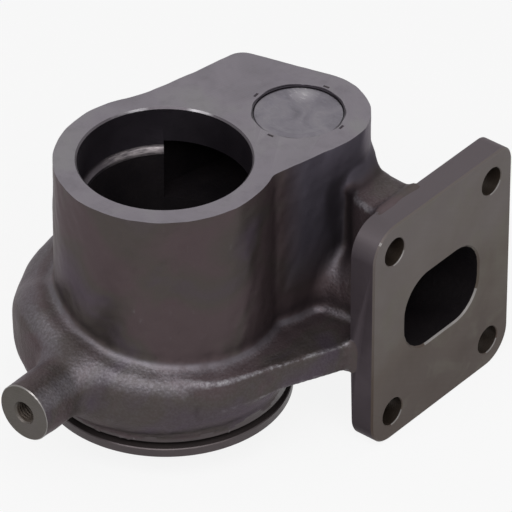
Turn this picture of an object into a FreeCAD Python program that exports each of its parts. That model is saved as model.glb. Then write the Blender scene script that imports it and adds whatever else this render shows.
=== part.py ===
"""Turbine housing of a turbocharger: one iron casting and the blanking plug staked into its top face.

Millimetres. The turbine's axis is +Z with the gas outlet at the top. The origin is on that axis, in the
bottom face of the clamp ring that joins the bearing housing. +X points out of the gas inlet's flange.
"""
import FreeCAD
import Part
import math
import os

V = FreeCAD.Vector

# Outlet column, which runs up from the scroll to the machined outlet face
column_height = 123.0
column_r = 49.6
draft_deg = 0.7
outlet_bore_r = 39.0
outlet_bore_depth = 22.0
outlet_chamfer = 1.2
diffuser_top_r = 36.0
exducer_r = 31.0
exducer_top_z = 48.0
diffuser_height = 6.0
shroud_height = 7.0

# Side chamber beside the column, with its access hole and blanking plug
plug_x = 22.8
plug_y = 65.8
plug_r = 20.5
plug_thickness = 6.0
plug_recess = 1.2
plug_fit = 0.02
plug_seat_width = 3.0
plug_edge_chamfer = 0.5
plug_dish_r = 16.0
plug_dish_floor_r = 13.0
plug_dish_depth = 0.6
stake_offset = 2.6
stake_width = 1.6
stake_length = 3.6
stake_depth = 0.8
stake_angles_deg = (-112.0, -22.0, 68.0, 158.0)
arm_r = 32.4
arm_right_lean_deg = 13.0
arm_corner_r = 9.0
arm_corner_x = -20.2
arm_corner_y = 78.6
arm_notch_r = 6.0
arm_left_blend_r = 95.0
arm_left_blend_deg = 153.0
chamber_wall = 8.0
chamber_floor_z = 76.0
deck_thickness = 18.0
window_start_deg = 17.0
window_sweep_deg = 120.0
window_reach = 4.0
arm_foot_r = 70.0
arm_shoulder_r = 94.0
arm_shoulder_z = 55.0

# Scroll: a passage that winds round the axis and shrinks from the inlet to its tail
scroll_wall = 6.0
scroll_start_deg = 90.0
scroll_sweep_deg = 325.0
scroll_step_deg = 15.0
passage_step_deg = 18.0
scroll_start_r = 86.0
scroll_tail_r = 59.5
scroll_growth = 2.25
scroll_rise = 1.75
scroll_floor_z = 8.5
scroll_floor_ramp = 0.25
scroll_tail_top_z = 38.0
scroll_hub_r = 42.0
scroll_inner_corner_r = 2.0
corner_flats = 4
scroll_corner_of_height = 0.47
scroll_corner_of_width = 0.85
nozzle_low_z = 14.5
nozzle_high_z = 25.3
nozzle_depth = 2.0
nozzle_r = 36.5

# Clamp ring and bearing housing seat
ring_r = 57.5
ring_height = 5.2
ring_rim = 4.4
ring_neck_r = 53.5
ring_groove_top_z = 7.2
ring_shoulder_r = 56.4
spigot_r = 46.0
spigot_depth = 6.0
wheel_bore_r = 40.0

# Gas inlet flange, its bolt holes and its port
flange_face_x = 92.8
flange_y = 82.7
flange_z = 43.0
flange_thickness = 13.0
flange_width = 99.5
flange_height = 117.5
flange_near_top_r = 15.0
flange_near_low_r = 13.0
flange_far_top_r = 9.0
flange_far_low_r = 16.0
flange_edge_chamfer = 0.8
flange_back_taper = 1.6
bolt_spacing_y = 69.85
bolt_spacing_z = 88.9
bolt_hole_r = 6.9
bolt_chamfer = 0.4
port_width = 53.4
port_height = 39.3
port_corner_r = 16.5
port_chamfer = 0.8
duct_wall = 6.5
duct_straight = 14.0
duct_corner_share = 0.46

# Web that braces the flange to the scroll, and the riser above the duct
web_top_z = 39.5
web_thickness = 14.2
web_edge_deg = 67.0
web_edge_offset = 60.8
web_fillet_r = 5.0
riser_top_z = 101.0
riser_near_y = 50.2
riser_far_y = 77.8
riser_root_deg = -4.0
riser_flare_r = 14.0
riser_flare_deg = 33.0
riser_flare_end_deg = 200.0
riser_bulge_r = 26.0
riser_bulge_start_deg = 220.0
riser_bulge_inset = 2.0

# Threaded boss on the scroll's side
boss_x = -4.7
boss_z = 33.0
boss_end_y = -92.0
boss_r = 13.8
boss_chamfer = 0.7
boss_hole_r = 4.25
boss_hole_depth = 20.0
boss_hole_chamfer = 0.8
drill_tip_height = 2.5

# How far a cutting or joining body runs past the face that it meets
overrun = 1.0


def polar(radius, angle_deg, z=0.0):
    """A point at a radius and an angle about the turbine's axis."""
    angle = math.radians(angle_deg)
    return V(radius * math.cos(angle), radius * math.sin(angle), z)


def line(a, b):
    return Part.LineSegment(a, b).toShape()


def arc_about(centre, radius, start_deg, end_deg):
    """An arc about a centre from one angle to the other, clockwise if the second is smaller."""
    angles = (start_deg, (start_deg + end_deg) / 2.0, end_deg)
    points = [centre + polar(radius, angle) for angle in angles]
    return Part.Arc(points[0], points[1], points[2]).toShape()


def revolved(points):
    """A solid turned about Z from a closed outline of (radius, height) points."""
    outline = Part.makePolygon([V(r, 0, z) for r, z in points] + [V(points[0][0], 0, points[0][1])])
    return Part.Face(outline).revolve(V(0, 0, 0), V(0, 0, 1), 360)


def section_wire(low, high, floor, top, corner_r, place, arcs):
    """A section with rounded corners, put in space by a function of distance and height.

    The corner between the outer side and the top is an arc where arcs is true. The others are short flats.
    """
    corners = (
        (low + scroll_inner_corner_r, floor + scroll_inner_corner_r, scroll_inner_corner_r, 180.0),
        (high - corner_r, floor + corner_r, corner_r, 270.0),
        (high - corner_r, top - corner_r, corner_r, 0.0),
        (low + scroll_inner_corner_r, top - scroll_inner_corner_r, scroll_inner_corner_r, 90.0),
    )
    edges = []
    first = None
    for u, z, radius, start_deg in corners:
        points = []
        for index in range(corner_flats + 1):
            angle = math.radians(start_deg + 90.0 * index / corner_flats)
            points.append(place(u + radius * math.cos(angle), z + radius * math.sin(angle)))
        if first is None:
            first = points[0]
        else:
            edges.append(line(last, points[0]))
        if arcs and start_deg == 0.0:
            edges.append(Part.Arc(points[0], points[corner_flats // 2], points[-1]).toShape())
        else:
            edges += [line(a, b) for a, b in zip(points, points[1:])]
        last = points[-1]
    edges.append(line(last, first))
    return Part.Wire(edges)


def tangent_normal(from_centre, from_r, to_centre, to_r, turn):
    """Direction, in degrees, of the normal of a line that touches two circles."""
    across = to_centre - from_centre
    distance = across.Length
    along_deg = math.degrees(math.atan2(across.y, across.x))
    return (along_deg + turn * math.degrees(math.acos((from_r - to_r) / distance))) % 360.0


def arm_outline(grow, z):
    """Outline of the column with the side chamber's wall, larger by grow all round."""
    axis = V(0, 0, 0)
    plug = V(plug_x, plug_y, 0)
    corner = V(arm_corner_x, arm_corner_y, 0)
    column = column_r + grow
    boss = arm_r + grow
    corner_r = arm_corner_r + grow
    notch = arm_notch_r - grow
    blend = arm_left_blend_r - grow
    blend_centre = polar(column_r + arm_left_blend_r, arm_left_blend_deg)
    back_deg = tangent_normal(corner, corner_r, plug, boss, 1)
    left_deg = tangent_normal(corner, corner_r, blend_centre, -blend, -1)
    right_deg = -arm_right_lean_deg
    wall_normal = polar(1.0, right_deg)
    wall_distance = wall_normal.dot(plug) + arm_r + arm_notch_r
    notch_deg = right_deg + math.degrees(math.acos(wall_distance / (column_r + arm_notch_r)))
    notch_centre = polar(column_r + arm_notch_r, notch_deg)
    wall_start = notch_centre - polar(notch, right_deg)
    wall_end = plug + polar(boss, right_deg)
    back_start = plug + polar(boss, back_deg)
    back_end = corner + polar(corner_r, back_deg)
    left_start = corner + polar(corner_r, left_deg)
    left_end = blend_centre - polar(blend, left_deg)
    edges = [
        line(wall_start, wall_end),
        arc_about(plug, boss, right_deg, back_deg),
        line(back_start, back_end),
        arc_about(corner, corner_r, back_deg, left_deg),
        line(left_start, left_end),
        arc_about(blend_centre, blend, left_deg - 180.0, arm_left_blend_deg - 180.0),
        arc_about(axis, column, arm_left_blend_deg, 360.0 + notch_deg),
        arc_about(notch_centre, notch, notch_deg + 180.0, right_deg + 180.0),
    ]
    wire = Part.Wire(edges)
    wire.translate(V(0, 0, z))
    return wire


def column_and_arm():
    """The drafted column and side chamber wall, cut back under the arm towards the scroll."""
    foot_grow = (column_height - nozzle_high_z) * math.tan(math.radians(draft_deg))
    body = Part.makeLoft([arm_outline(foot_grow, nozzle_high_z), arm_outline(0.0, column_height)], True, True)
    reach = plug_y + arm_r + column_r
    low = nozzle_high_z - overrun
    high = column_height + overrun
    skirt = revolved([
        (0, low), (arm_foot_r, low), (arm_shoulder_r, arm_shoulder_z), (reach, arm_shoulder_z),
        (reach, high), (0, high)])
    return body.common(skirt)


def scroll_share(angle_deg):
    """What is left of the scroll at an angle: 1 at its start, 0 after a whole turn."""
    return 1.0 - (angle_deg - scroll_start_deg) / 360.0


def scroll_size(angle_deg):
    """Outer radius, floor and top of the scroll's casting at an angle."""
    share = scroll_share(angle_deg)
    duct_floor_z = flange_z - port_height / 2.0 - duct_wall
    duct_top_z = flange_z + port_height / 2.0 + duct_wall
    radius = scroll_tail_r + (scroll_start_r - scroll_tail_r) * share ** scroll_growth
    near_start = max(0.0, 1.0 - (1.0 - share) / scroll_floor_ramp)
    floor = scroll_floor_z + (duct_floor_z - scroll_floor_z) * near_start
    top = scroll_tail_top_z + (duct_top_z - scroll_tail_top_z) * share ** scroll_rise
    return radius, floor, top


def scroll_sides(angle_deg, wall):
    """Sides and outer corner radius of the scroll's section at an angle, inside its casting by a wall."""
    radius, floor, top = scroll_size(angle_deg)
    high, bottom, ceiling = radius - wall, floor + wall, top - wall
    width = high - scroll_hub_r
    corner = min(scroll_corner_of_height * (ceiling - bottom), scroll_corner_of_width * width)
    return scroll_hub_r, high, bottom, ceiling, corner


def scroll_wire(angle_deg, wall):
    """The scroll's section at an angle, inside its casting by a wall."""
    low, high, bottom, ceiling, corner = scroll_sides(angle_deg, wall)
    return section_wire(low, high, bottom, ceiling, corner, lambda u, z: polar(u, angle_deg, z), wall == 0.0)


def scroll(wall, step_deg):
    """The scroll from its start to its tail, through sections a step apart, inside its casting by a wall."""
    count = round(scroll_sweep_deg / step_deg)
    angles = [scroll_start_deg + index * scroll_sweep_deg / count for index in range(count + 1)]
    return Part.makeLoft([scroll_wire(angle, wall) for angle in angles], True, True)


def duct_plan(wall):
    """Corners of the inlet duct from above, inside its casting by a wall. It tapers towards the scroll."""
    near_y = flange_y - port_width / 2.0 - duct_wall + wall
    far_y = flange_y + port_width / 2.0 + duct_wall - wall
    near_start = V(0, scroll_hub_r - duct_wall + wall, 0)
    far_start = V(0, scroll_start_r - wall, 0)
    taper_x = flange_face_x - duct_straight
    return [
        near_start, V(taper_x, near_y, 0), V(flange_face_x, near_y, 0),
        V(flange_face_x, far_y, 0), V(taper_x, far_y, 0), far_start]


def duct(wall):
    """The inlet duct from the flange to the scroll's start, inside its casting by a wall."""
    height = port_height + 2.0 * (duct_wall - wall)
    plan = duct_plan(wall)
    body = Part.Face(Part.makePolygon(plan + plan[:1])).extrude(V(0, 0, height))
    body.translate(V(0, 0, flange_z - height / 2.0))
    room = duct_corner_share * min(height, plan[-1].y - plan[0].y)
    long_edges = []
    for edge in body.Edges:
        if edge.BoundBox.ZLength < 1e-6 and edge.BoundBox.XLength > 1e-6:
            long_edges.append(edge)
    return body.makeFillet(min(port_corner_r + duct_wall - wall, room), long_edges)


def rounded_wire(x, width, height, radii):
    """A rectangle across X round the port's centre. The radii go from the near low corner by the far one."""
    near, far = flange_y - width / 2.0, flange_y + width / 2.0
    low, top = flange_z - height / 2.0, flange_z + height / 2.0
    corners = ((near, low, 1, 1), (far, low, -1, 1), (far, top, -1, -1), (near, top, 1, -1))
    arcs = []
    for quarter, ((y, z, sy, sz), radius) in enumerate(zip(corners, radii)):
        points = []
        for angle_deg in (180.0, 225.0, 270.0):
            angle = math.radians(angle_deg + 90.0 * quarter)
            points.append(V(x, y + radius * (sy + math.cos(angle)), z + radius * (sz + math.sin(angle))))
        arcs.append(Part.Arc(*points))
    edges = []
    for index, arc in enumerate(arcs):
        edges.append(arc.toShape())
        edges.append(line(arc.EndPoint, arcs[(index + 1) % 4].StartPoint))
    return Part.Wire(edges)


def flange_plate():
    """The inlet flange with its own radius at each corner and a taper on the lower half of its back."""
    back_x = flange_face_x - flange_thickness
    near = flange_y - flange_width / 2.0
    low = flange_z - flange_height / 2.0
    radii = (flange_near_low_r, flange_far_low_r, flange_far_top_r, flange_near_top_r)
    outline = rounded_wire(back_x, flange_width, flange_height, radii)
    plate = Part.Face(outline).extrude(V(flange_thickness, 0, 0))
    front = [edge for edge in plate.Edges if abs(edge.BoundBox.XMin - flange_face_x) < 1e-6]
    plate = plate.makeChamfer(flange_edge_chamfer, front)
    taper_low = low - overrun
    taper = Part.Face(Part.makePolygon([
        V(back_x, near - overrun, flange_z), V(back_x, near - overrun, taper_low),
        V(back_x + flange_back_taper, near - overrun, taper_low), V(back_x, near - overrun, flange_z)]))
    return plate.cut(taper.extrude(V(0, flange_width + 2 * overrun, 0)))


def web_plate():
    """The level web from the scroll to the flange, with a straight outer edge and a radius at the flange."""
    back_x = flange_face_x - flange_thickness
    along = polar(1.0, web_edge_deg)
    out = polar(1.0, web_edge_deg - 90.0)
    touch = out * web_edge_offset
    end_x = back_x + overrun
    end = touch + along * ((end_x - touch.x) / along.x)
    inner = V(exducer_r, flange_y, 0)
    outline = Part.makePolygon([touch, end, V(end_x, flange_y, 0), inner, V(0, 0, 0), touch])
    plate = Part.Face(outline).extrude(V(0, 0, web_thickness))
    plate.translate(V(0, 0, web_top_z - web_thickness))
    return plate


def web_fillet():
    """The radius between the web's underside and the flange's back."""
    back_x = flange_face_x - flange_thickness
    foot_z = web_top_z - web_thickness
    near = flange_y - flange_width / 2.0
    side = web_fillet_r + overrun
    block = Part.makeBox(side, flange_y - near, side)
    block.translate(V(back_x - web_fillet_r, near, foot_z - web_fillet_r))
    round_start = V(back_x - web_fillet_r, near - overrun, foot_z - web_fillet_r)
    return block.cut(Part.makeCylinder(web_fillet_r, flange_y, round_start, V(0, 1, 0)))


def riser():
    """The upright wall between the arm and the flange's back, bulged on its near side."""
    back_x = flange_face_x - flange_thickness
    plug = V(plug_x, plug_y, 0)
    arm_start = plug + polar(arm_r - overrun, riser_root_deg)
    bulge_centre = V(back_x - riser_bulge_inset, riser_near_y + riser_bulge_r, 0)
    bulge_start = bulge_centre + polar(riser_bulge_r, riser_bulge_start_deg)
    near_end = V(back_x + overrun, riser_near_y, 0)
    far_end = V(back_x + overrun, riser_far_y, 0)
    flare_x = plug_x + (arm_r + riser_flare_r) * math.cos(math.radians(riser_flare_deg))
    flare_centre = V(flare_x, riser_far_y + riser_flare_r, 0)
    flare_end = flare_centre + polar(riser_flare_r, riser_flare_end_deg)
    inside_far = V(plug_x, flare_end.y, 0)
    inside_near = V(plug_x, arm_start.y, 0)
    edges = [
        line(arm_start, bulge_start),
        arc_about(bulge_centre, riser_bulge_r, riser_bulge_start_deg, 270.0),
        line(V(bulge_centre.x, riser_near_y, 0), near_end),
        line(near_end, far_end),
        line(far_end, V(flare_x, riser_far_y, 0)),
        arc_about(flare_centre, riser_flare_r, 270.0, riser_flare_end_deg),
        line(flare_end, inside_far),
        line(inside_far, inside_near),
        line(inside_near, arm_start),
    ]
    wall = Part.Face(Part.Wire(edges)).extrude(V(0, 0, riser_top_z - flange_z))
    wall.translate(V(0, 0, flange_z))
    return wall


def clamp_ring():
    """The ring for the bearing housing's clamp, its groove and the shoulder up into the scroll."""
    shoulder_top_z = nozzle_high_z
    return revolved([
        (0, 0), (ring_r, 0), (ring_r, ring_rim), (ring_neck_r, ring_height),
        (ring_neck_r, ring_groove_top_z), (ring_shoulder_r, ring_groove_top_z),
        (ring_shoulder_r, shoulder_top_z), (0, shoulder_top_z)])


def boss():
    """The round boss on the scroll's side, with its tapped hole left plain."""
    length = -boss_end_y - column_r
    body = Part.makeCylinder(boss_r, length, V(boss_x, -column_r, boss_z), V(0, -1, 0))
    end = [edge for edge in body.Edges if edge.BoundBox.YMax < boss_end_y + 0.01]
    return body.makeChamfer(boss_chamfer, end)


def boss_hole():
    inward = V(0, 1, 0)
    mouth = V(boss_x, boss_end_y, boss_z)
    floor = mouth + inward * boss_hole_depth
    hole = Part.makeCylinder(boss_hole_r, boss_hole_depth, mouth, inward)
    hole = hole.fuse(Part.makeCone(boss_hole_r, 0, drill_tip_height, floor, inward))
    mouth_r = boss_hole_r + boss_hole_chamfer
    return hole.fuse(Part.makeCone(mouth_r, boss_hole_r, boss_hole_chamfer, mouth, inward))


def turned_bore():
    """Everything that is turned about the axis, from the spigot seat to the outlet."""
    ledge_z = column_height - outlet_bore_depth
    nozzle_outer_r = scroll_hub_r + nozzle_depth
    mouth_r = outlet_bore_r + outlet_chamfer
    return revolved([
        (0, -overrun), (spigot_r, -overrun), (spigot_r, spigot_depth),
        (wheel_bore_r, spigot_depth), (wheel_bore_r, nozzle_low_z),
        (nozzle_outer_r, nozzle_low_z), (nozzle_outer_r, nozzle_high_z), (nozzle_r, nozzle_high_z),
        (exducer_r, nozzle_high_z + shroud_height), (exducer_r, exducer_top_z),
        (diffuser_top_r, exducer_top_z + diffuser_height), (diffuser_top_r, ledge_z),
        (outlet_bore_r, ledge_z), (outlet_bore_r, column_height - outlet_chamfer),
        (mouth_r, column_height), (mouth_r, column_height + overrun), (0, column_height + overrun)])


def side_chamber():
    """The hollow under the deck beside the outlet, open to the outlet through a window."""
    roof_z = column_height - deck_thickness
    height = roof_z - chamber_floor_z
    inner = Part.Face(arm_outline(-chamber_wall, chamber_floor_z)).extrude(V(0, 0, height))
    keep_r = column_r + window_reach
    keep = Part.makeCylinder(keep_r, height, V(0, 0, chamber_floor_z))
    up = V(0, 0, 1)
    window = Part.makeCylinder(keep_r + overrun, height, V(0, 0, chamber_floor_z), up, window_sweep_deg)
    window.rotate(V(0, 0, 0), up, window_start_deg)
    return inner.cut(keep.cut(window))


def plug_hole():
    """The stepped access hole through the deck that the plug closes."""
    seat_z = column_height - plug_recess - plug_thickness
    low_z = column_height - deck_thickness - overrun
    upper = Part.makeCylinder(plug_r + plug_fit, column_height - seat_z + overrun, V(plug_x, plug_y, seat_z))
    lower = Part.makeCylinder(plug_r - plug_seat_width, seat_z - low_z, V(plug_x, plug_y, low_z))
    return upper.fuse(lower)


def stake_marks():
    """Four short punch marks in the deck that close the hole's rim over the plug."""
    marks = []
    inner_side = plug_r + stake_offset - stake_width / 2.0
    for angle in stake_angles_deg:
        mark = Part.makeBox(stake_width, stake_length, stake_depth + overrun)
        mark.translate(V(inner_side, -stake_length / 2.0, column_height - stake_depth))
        mark.rotate(V(0, 0, 0), V(0, 0, 1), angle)
        mark.translate(V(plug_x, plug_y, 0))
        marks.append(mark)
    return marks


def bolt_holes():
    holes = []
    for side in (-0.5, 0.5):
        for level in (-0.5, 0.5):
            centre = V(flange_face_x, flange_y + side * bolt_spacing_y, flange_z + level * bolt_spacing_z)
            start = centre + V(overrun, 0, 0)
            shank = Part.makeCylinder(bolt_hole_r, flange_thickness + 2 * overrun, start, V(-1, 0, 0))
            mouth = Part.makeCone(bolt_hole_r + bolt_chamfer, bolt_hole_r, bolt_chamfer, centre, V(-1, 0, 0))
            holes.append(shank.fuse(mouth))
    return holes


def port_mouth():
    """The chamfer round the gas port at the flange's face."""
    wires = []
    for x, grow in ((flange_face_x, port_chamfer), (flange_face_x - port_chamfer, 0.0)):
        radii = [port_corner_r + grow] * 4
        wires.append(rounded_wire(x, port_width + 2 * grow, port_height + 2 * grow, radii))
    return Part.makeLoft(wires, True, True)


def turbine_housing():
    """The one casting, machined at its faces, bores and holes."""
    cast_forms = [scroll(0.0, scroll_step_deg), duct(0.0), flange_plate(), web_plate(), web_fillet()]
    cast_forms += [riser(), clamp_ring(), boss()]
    housing = column_and_arm()
    for form in cast_forms:
        housing = housing.fuse(form)
    hollows = [scroll(scroll_wall, passage_step_deg), duct(duct_wall), port_mouth(), turned_bore()]
    hollows += [side_chamber(), plug_hole(), boss_hole()] + stake_marks() + bolt_holes()
    for hollow in hollows:
        housing = housing.cut(hollow)
    return housing


def blanking_plug():
    """The steel disc in the access hole, with a shallow dish in its top."""
    seat_z = column_height - plug_recess - plug_thickness
    disc = Part.makeCylinder(plug_r, plug_thickness, V(plug_x, plug_y, seat_z))
    top = V(plug_x, plug_y, seat_z + plug_thickness)
    rim = [edge for edge in disc.Edges if edge.BoundBox.ZMin > seat_z + overrun and len(edge.Vertexes) == 1]
    disc = disc.makeChamfer(plug_edge_chamfer, rim)
    return disc.cut(Part.makeCone(plug_dish_r, plug_dish_floor_r, plug_dish_depth, top, V(0, 0, -1)))


os.makedirs("parts", exist_ok=True)
pieces = {"turbine_housing": turbine_housing(), "blanking_plug": blanking_plug()}
for name, shape in pieces.items():
    print(name, "solids", len(shape.Solids), "valid", shape.isValid(), "volume", round(shape.Volume))
    shape.exportStep("parts/" + name + ".step")
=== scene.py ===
"""Looks of the turbine housing: its cast skin with machined faces, the staked plug, and a plain studio.

The rough casting is a distance field in millimetres that is turned into a mesh. Cutters at the sizes of the
solids then machine it. Each face gets a finish by its place, and the materials get their detail from noise.
"""
import bpy
import bmesh
import functools
import itertools
import math
import numpy as np
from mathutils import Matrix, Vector

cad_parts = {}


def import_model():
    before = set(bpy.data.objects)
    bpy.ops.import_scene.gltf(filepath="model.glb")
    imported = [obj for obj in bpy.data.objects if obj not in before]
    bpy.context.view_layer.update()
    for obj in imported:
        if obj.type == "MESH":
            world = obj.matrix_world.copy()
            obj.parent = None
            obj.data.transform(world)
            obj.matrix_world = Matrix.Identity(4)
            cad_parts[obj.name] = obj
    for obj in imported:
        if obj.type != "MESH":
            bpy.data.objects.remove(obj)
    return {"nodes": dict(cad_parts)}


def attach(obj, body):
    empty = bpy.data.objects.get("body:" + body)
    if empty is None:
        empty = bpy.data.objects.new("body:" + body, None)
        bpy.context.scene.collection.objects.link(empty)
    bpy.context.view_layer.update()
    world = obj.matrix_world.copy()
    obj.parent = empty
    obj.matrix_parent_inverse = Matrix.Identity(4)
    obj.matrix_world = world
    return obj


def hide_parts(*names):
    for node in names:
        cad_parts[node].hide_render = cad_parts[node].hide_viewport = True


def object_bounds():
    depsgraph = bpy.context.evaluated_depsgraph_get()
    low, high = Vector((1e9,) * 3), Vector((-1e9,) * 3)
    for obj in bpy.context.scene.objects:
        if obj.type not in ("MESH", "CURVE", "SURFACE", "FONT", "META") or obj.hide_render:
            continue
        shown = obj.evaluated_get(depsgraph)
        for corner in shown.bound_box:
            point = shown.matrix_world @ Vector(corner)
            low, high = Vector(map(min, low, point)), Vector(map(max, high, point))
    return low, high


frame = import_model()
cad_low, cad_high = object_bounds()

MM = 0.001

# Sizes in millimetres, the same as in the solids
column_height = 123.0
column_r = 49.6
draft = math.tan(math.radians(0.7))
plug_x, plug_y, plug_r = 22.8, 65.8, 20.5
plug_hole_r, plug_shelf_r, plug_seat_z = 20.52, 17.5, 115.8
arm_r = 32.4
corner_x, corner_y, corner_r = -20.2, 78.6, 9.0
notch_r = 6.0
blend_r = 95.0
blend_deg = 153.0
arm_lean_deg = -13.0
arm_foot_r, arm_shoulder_r, arm_shoulder_z = 70.0, 94.0, 55.0
deck_low_z = 105.0
chamber_floor_z = 76.0
chamber_wall = 8.0
window_reach = 4.0
scroll_start_r, scroll_tail_r = 86.0, 59.5
scroll_growth, scroll_rise = 2.25, 1.75
scroll_floor_z, scroll_start_floor_z = 8.5, 16.85
scroll_start_top_z, scroll_tail_top_z = 69.15, 38.0
scroll_hub_r = 42.0
scroll_wall = 6.0
scroll_sweep_deg = 325.0
foot_z = 25.3
flange_x, flange_y, flange_z = 92.8, 82.7, 43.0
flange_thickness = 13.0
flange_width, flange_height = 99.5, 117.5
flange_corners = {(-1, 1): 15.0, (-1, -1): 13.0, (1, 1): 9.0, (1, -1): 16.0}
flange_back_taper = 1.6
port_width, port_height, port_corner = 53.4, 39.3, 16.5
duct_wall = 6.5
duct_straight = 14.0
bolt_y, bolt_z, bolt_r = 69.85, 88.9, 6.9
web_top_z, web_thickness = 39.5, 14.2
web_deg, web_offset = 67.0, 60.8
riser_top_z = 101.0
riser_near_y, riser_far_y = 50.2, 77.8
boss_x, boss_z, boss_end_y, boss_r = -4.7, 33.0, -92.0, 13.8
boss_hole_r, boss_hole_depth = 4.25, 20.0
ring_r, ring_rim_z, ring_height = 57.5, 4.4, 5.2
ring_neck_r, ring_groove_top_z, ring_shoulder_r = 53.5, 7.2, 56.4
seat_r, seat_depth = 46.0, 6.0
wheel_bore_r, wheel_room_r, wheel_room_low_z = 40.0, 44.0, 14.5
exducer_r, exducer_low_z, exducer_high_z = 31.0, 32.3, 48.0
diffuser_r, diffuser_low_z = 36.0, 54.0
outlet_r, outlet_low_z, outlet_chamfer = 39.0, 103.0, 0.8

# Fillets in the corners of the rough casting and radii of its edges, in millimetres
duct_fillet, neck_fillet, web_fillet = 3.0, 2.0, 5.0
column_fillet, riser_fillet, flange_fillet, boss_fillet = 5.4, 7.0, 5.0, 7.0
arm_edge_r, duct_edge_r, web_edge_r, riser_edge_r = 6.0, 23.0, 1.1, 3.0

# Forms that follow the photograph more closely than the solids do, in millimetres
stake_r, stake_angles_deg = 22.8, (-84.0, 6.0, 96.0, 186.0)
window_deg = (17.0, 131.0)
ledge_low_z = 99.6
web_start_bend, web_behind = 0.014, 26.0
riser_bulge_r, riser_flare_r, riser_flare_x = 26.0, 39.0, 72.0

# The scroll's shoulder round the column's foot, along the share of the scroll that is still ahead
shelf_low_share, shelf_low_z = 0.2128, 38.5
shelf_slope = 36.0
shelf_bend_share, shelf_bend = 0.45, 313.0
shelf_corner = 12.5
shelf_fade = (0.57, 0.68)

# The cast skin's uneven surface: height and size of the lumps in millimetres, and the seed of each layer
skin_lumps = ((0.16, 16.0, 3), (0.07, 6.0, 4))
# What each vertex carries for the cast skin's material
skin_names = ("coarse", "edge", "crease", "hollow", "bead")

# Grid of the distance field, in millimetres
cell = 1.25
field_low = np.array((-77.0, -96.0, -19.0))
field_high = np.array((96.0, 136.0, 128.0))


def polar(radius, angle_deg):
    angle = math.radians(angle_deg)
    return np.array((radius * math.cos(angle), radius * math.sin(angle)))


def arc_points(centre, radius, start_deg, end_deg, step_deg=4.0):
    """Points along an arc, both ends included."""
    count = max(2, int(abs(end_deg - start_deg) / step_deg) + 1)
    return [np.array(centre) + polar(radius, angle) for angle in np.linspace(start_deg, end_deg, count)]


def touching_normal(a, a_r, b, b_r, turn):
    """Direction of the normal of a line that touches two circles, in degrees."""
    across = np.array(b) - np.array(a)
    along = math.degrees(math.atan2(across[1], across[0]))
    return (along + turn * math.degrees(math.acos((a_r - b_r) / np.linalg.norm(across)))) % 360.0


def arm_outline(grow=0.0, step_deg=3.0):
    """Outline of the column and the side chamber's wall, as in the CAD model."""
    plug, corner = (plug_x, plug_y), (corner_x, corner_y)
    blend_centre = polar(column_r + blend_r, blend_deg)
    back = touching_normal(corner, corner_r + grow, plug, arm_r + grow, 1)
    left = touching_normal(corner, corner_r + grow, blend_centre, grow - blend_r, -1)
    normal = polar(1.0, arm_lean_deg)
    distance = normal.dot(plug) + arm_r + notch_r
    notch = arm_lean_deg + math.degrees(math.acos(distance / (column_r + notch_r)))
    notch_centre = polar(column_r + notch_r, notch)
    points = arc_points(plug, arm_r + grow, arm_lean_deg, back, step_deg)
    points += arc_points(corner, corner_r + grow, back, left, step_deg)
    points += arc_points(blend_centre, blend_r - grow, left - 180.0, blend_deg - 180.0, step_deg / 4)
    points += arc_points((0, 0), column_r + grow, blend_deg, 360.0 + notch, step_deg)[1:]
    points += arc_points(notch_centre, notch_r - grow, notch + 180.0, arm_lean_deg + 180.0, step_deg)
    return np.array(points)


def polygon_distance(u, v, points):
    """Signed distance from each grid point to a closed outline in a plane, negative inside."""
    nearest = np.full(np.broadcast(u, v).shape, 1e9)
    inside = np.zeros(nearest.shape, bool)
    for a, b in zip(points, np.roll(points, -1, axis=0)):
        edge = b - a
        along = np.clip(((u - a[0]) * edge[0] + (v - a[1]) * edge[1]) / edge.dot(edge), 0.0, 1.0)
        near = (u - a[0] - along * edge[0]) ** 2 + (v - a[1] - along * edge[1]) ** 2
        nearest = np.minimum(nearest, near)
        crosses = (a[1] > v) != (b[1] > v)
        if a[1] != b[1]:
            inside ^= crosses & (u < a[0] + (v - a[1]) * edge[0] / edge[1])
    distance = np.sqrt(nearest)
    return np.where(inside, -distance, distance)


def rounded_box(u, v, low_u, high_u, low_v, high_v, corner):
    """Signed distance to a box with rounded corners in a plane."""
    du = np.abs(u - (low_u + high_u) / 2.0) - (high_u - low_u) / 2.0 + corner
    dv = np.abs(v - (low_v + high_v) / 2.0) - (high_v - low_v) / 2.0 + corner
    outside = np.sqrt(np.maximum(du, 0.0) ** 2 + np.maximum(dv, 0.0) ** 2)
    return outside + np.minimum(np.maximum(du, dv), 0.0) - corner


def join(a, b, radius):
    """Union of two fields with a fillet of a radius in the corner between them."""
    u = np.maximum(radius - a, 0.0)
    v = np.maximum(radius - b, 0.0)
    return np.maximum(radius, np.minimum(a, b)) - np.sqrt(u * u + v * v)


def keep(a, b, radius):
    """What two fields share, with a rounded edge."""
    return -join(-a, -b, radius)


def shared(*fields):
    """What several fields share, with sharp edges."""
    return functools.reduce(np.maximum, fields)


def ease(value, low, high):
    """A smooth step from 0 at the low value to 1 at the high one."""
    share = np.clip((value - low) / (high - low), 0.0, 1.0)
    return share * share * (3.0 - 2.0 * share)


def scroll_share(theta_deg):
    """How much of the scroll is still ahead at angles in degrees: 1 at its start, 0 a full turn on."""
    return 1.0 - np.mod(theta_deg - 90.0, 360.0) / 360.0


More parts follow.
